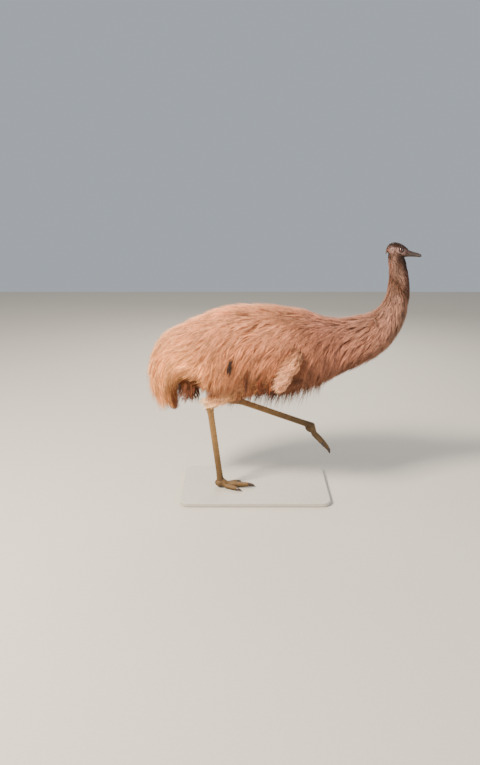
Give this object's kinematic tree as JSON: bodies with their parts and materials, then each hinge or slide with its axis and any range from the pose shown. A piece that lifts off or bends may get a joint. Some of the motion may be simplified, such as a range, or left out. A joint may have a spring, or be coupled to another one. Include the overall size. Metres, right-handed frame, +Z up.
{
  "type": "emu model",
  "caption": "Life-size still model of an adult emu in mid-run, neck stretched forward, one foot planted on a flat base and the other swinging forward.",
  "frame": {"origin": "centre of the underside of the base, on the floor", "axes": "+X the way the bird runs and faces, +Y towards its left side, +Z up"},
  "size_m": [1.3599, 0.467, 1.3162],
  "materials": {
    "plumage": "matte shaggy feathers, grey-brown",
    "pale_down": "matte feathers, pale brown",
    "neck_skin": "matte, thin dark feathering over grey-blue skin",
    "head_skin": "matte, dark bristly feathering",
    "horn": "satin horn, dark",
    "leg_scale": "satin scales, brown-grey",
    "eye": "glossy, orange-brown",
    "base": "plain matte grey"
  },
  "bodies": {
    "root": {"tail": "plumage", "torso": "plumage", "neck_lower": "plumage", "neck_upper": "neck_skin", "wing_right": "pale_down", "shank_right": "pale_down", "tarsus_right": "leg_scale", "toe_inner_right": "leg_scale", "claw_inner_right": "horn", "toe_middle_right": "leg_scale", "claw_middle_right": "horn", "toe_outer_right": "leg_scale", "claw_outer_right": "horn", "eye_right": "eye", "wing_left": "pale_down", "shank_left": "pale_down", "tarsus_left": "leg_scale", "toe_inner_left": "leg_scale", "claw_inner_left": "horn", "toe_middle_left": "leg_scale", "claw_middle_left": "horn", "toe_outer_left": "leg_scale", "claw_outer_left": "horn", "eye_left": "eye", "head": "head_skin", "bill_upper": "horn", "bill_lower": "horn", "stand_base": "base"}
  },
  "joints": []
}
